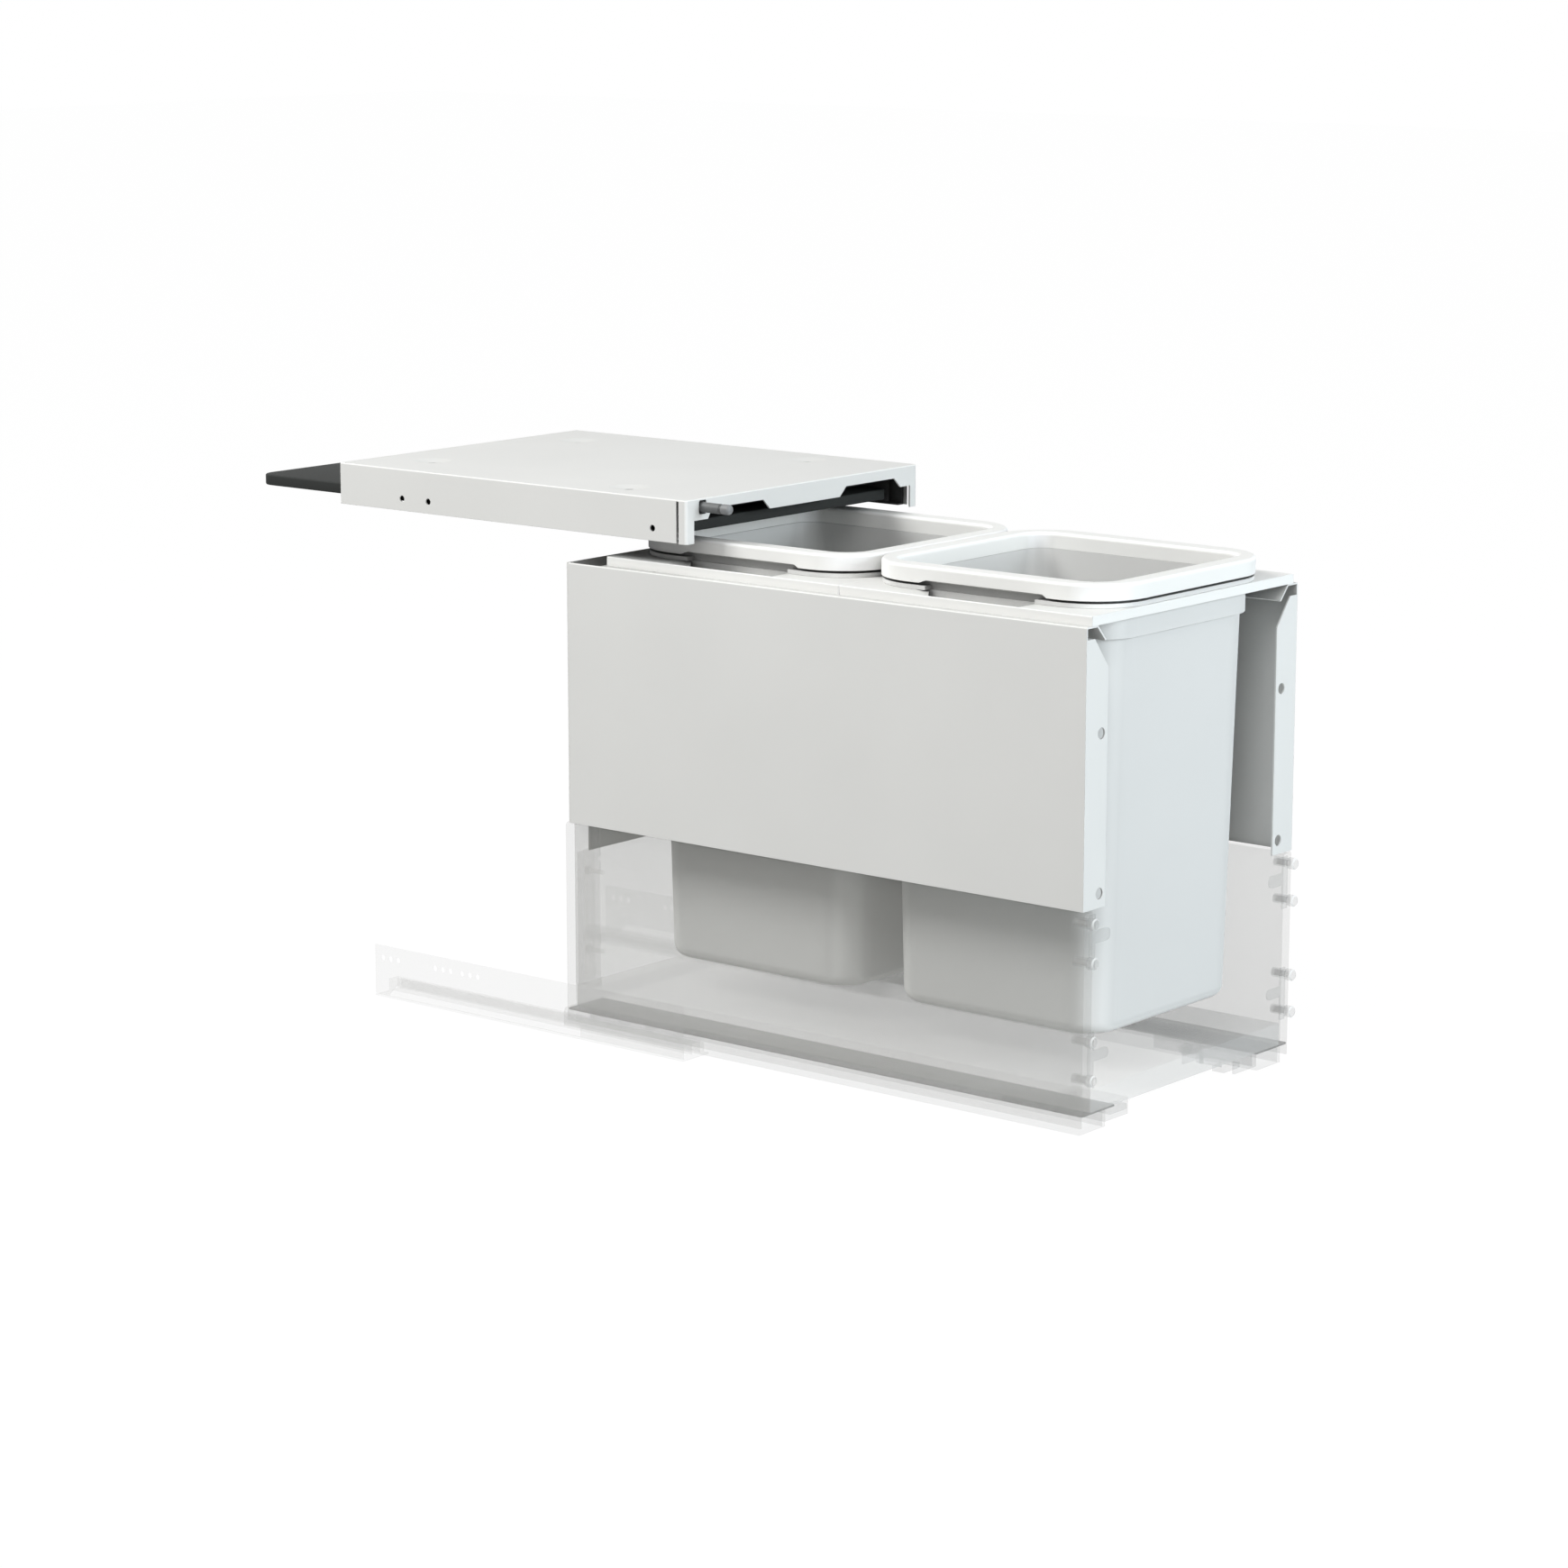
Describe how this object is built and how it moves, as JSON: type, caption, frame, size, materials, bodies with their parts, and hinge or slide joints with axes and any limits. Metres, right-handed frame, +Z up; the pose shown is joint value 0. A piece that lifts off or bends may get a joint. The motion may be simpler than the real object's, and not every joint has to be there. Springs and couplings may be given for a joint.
{
  "type": "pull-out waste bin unit",
  "caption": "Pull-out kitchen waste unit: lift-out bins hang in a sheet frame on a runner drawer, under a fixed cover whose flat inner lid is lowered by a plunger.",
  "frame": {"origin": "middle of the front edge of the cabinet's floor, where the unit is fitted", "axes": "+X to the right seen from the front, +Y into the cabinet, +Z up; the drawer pulls out along -Y"},
  "size_m": [0.267, 0.7978, 0.4095],
  "materials": {
    "white_sheet": "satin",
    "grey_sheet": "satin",
    "bright_steel": "satin",
    "black_plastic": "matt",
    "plunger_grey": "matt",
    "tip_grey": "matt",
    "lid_grey": "matt",
    "white_plastic": "satin",
    "bin_plastic": "matt",
    "clear_sheet": "satin",
    "clear_runner": "satin",
    "clear_board": "matt",
    "clear_fitting": "matt"
  },
  "bodies": {
    "cabinet_fixture": {"cover_sheet": "white_sheet", "lid_guide_left": "grey_sheet", "lid_guide_right": "grey_sheet", "plunger_guide": "black_plastic", "rod_guide": "black_plastic", "return_spring": "bright_steel", "cabinet_runner_left": "clear_runner", "cabinet_runner_right": "clear_runner"},
    "cages": {"roller_cage_left": "clear_fitting", "roller_cage_right": "clear_fitting", "cage_rollers": "clear_fitting"},
    "drawer": {"drawer_runner_left": "clear_runner", "drawer_runner_right": "clear_runner", "drawer_side_left": "clear_sheet", "drawer_side_right": "clear_sheet", "drawer_floor": "clear_board", "drawer_back": "clear_board", "back_bracket_left": "clear_sheet", "back_bracket_right": "clear_sheet", "back_screws": "bright_steel", "front_bracket_left_upper": "clear_fitting", "front_bracket_left_lower": "clear_fitting", "front_bracket_right_upper": "clear_fitting", "front_bracket_right_lower": "clear_fitting", "front_dowels": "clear_fitting", "frame_side_left": "white_sheet", "frame_side_right": "white_sheet", "frame_back": "white_sheet", "frame_screws": "bright_steel", "top_plate_front": "white_plastic", "top_plate_rear": "white_plastic", "catch_housing_left": "clear_fitting", "catch_housing_right": "clear_fitting"},
    "lever_left": {"catch_lever_left": "clear_fitting"},
    "lever_right": {"catch_lever_right": "clear_fitting"},
    "wheel_left": {"height_wheel_left": "clear_fitting"},
    "wheel_right": {"height_wheel_right": "clear_fitting"},
    "bin_front": {"front_bin": "bin_plastic"},
    "ring_front": {"front_bag_ring": "white_plastic"},
    "bin_rear": {"rear_bin": "bin_plastic", "rear_bag_ring": "white_plastic"},
    "plunger_carriage": {"plunger": "plunger_grey", "plunger_tip": "tip_grey", "lid_carriage": "grey_sheet"},
    "lid": {"inner_lid": "lid_grey", "lid_pins": "bright_steel"}
  },
  "joints": [
    {"name": "drawer_slide", "type": "slide", "parent": "cabinet_fixture", "child": "drawer", "axis": [0, -1, 0], "range_m": [-0.344, 0]},
    {"name": "cage_slide", "type": "slide", "parent": "cabinet_fixture", "child": "cages", "axis": [0, -1, 0], "range_m": [-0.172, 0]},
    {"name": "plunger_push", "type": "slide", "parent": "cabinet_fixture", "child": "plunger_carriage", "axis": [0, -1, 0], "range_m": [-0.03, 0], "stiffness_N_per_m": 150, "springref_m": 0.03, "deforming": ["return_spring"]},
    {"name": "lid_lower", "type": "slide", "parent": "cabinet_fixture", "child": "lid", "axis": [0, 0, 1], "range_m": [-0.0051, 0]},
    {"name": "front_bin_lift", "type": "slide", "parent": "drawer", "child": "bin_front", "axis": [0, 0, 1], "range_m": [0, 0.37]},
    {"name": "front_ring_lift", "type": "slide", "parent": "bin_front", "child": "ring_front", "axis": [0, 0, 1], "range_m": [0, 0.03]},
    {"name": "rear_bin_lift", "type": "slide", "parent": "drawer", "child": "bin_rear", "axis": [0, 0, 1], "range_m": [0, 0.005]},
    {"name": "catch_squeeze_left", "type": "hinge", "parent": "drawer", "child": "lever_left", "pos_m": [-0.076, -0.302, 0.0112], "axis": [0, 0, -1], "range_deg": [0, 8], "stiffness_Nm_per_rad": 0.3, "springref_deg": -11.46},
    {"name": "catch_squeeze_right", "type": "hinge", "parent": "drawer", "child": "lever_right", "pos_m": [0.076, -0.302, 0.0112], "axis": [0, 0, 1], "range_deg": [0, 8], "stiffness_Nm_per_rad": 0.3, "springref_deg": -11.46},
    {"name": "height_turn_left", "type": "hinge", "parent": "drawer", "child": "wheel_left", "pos_m": [-0.087, -0.281, 0.0128], "axis": [1, 0, 0], "range_deg": [-170, 170]},
    {"name": "height_turn_right", "type": "hinge", "parent": "drawer", "child": "wheel_right", "pos_m": [0.087, -0.281, 0.0128], "axis": [1, 0, 0], "range_deg": [-170, 170]}
  ],
  "couplings": [
    {"joint": "cage_slide", "follows": "drawer_slide", "ratio": 0.5},
    {"joint": "lid_lower", "follows": "plunger_push", "ratio": 0.17}
  ]
}
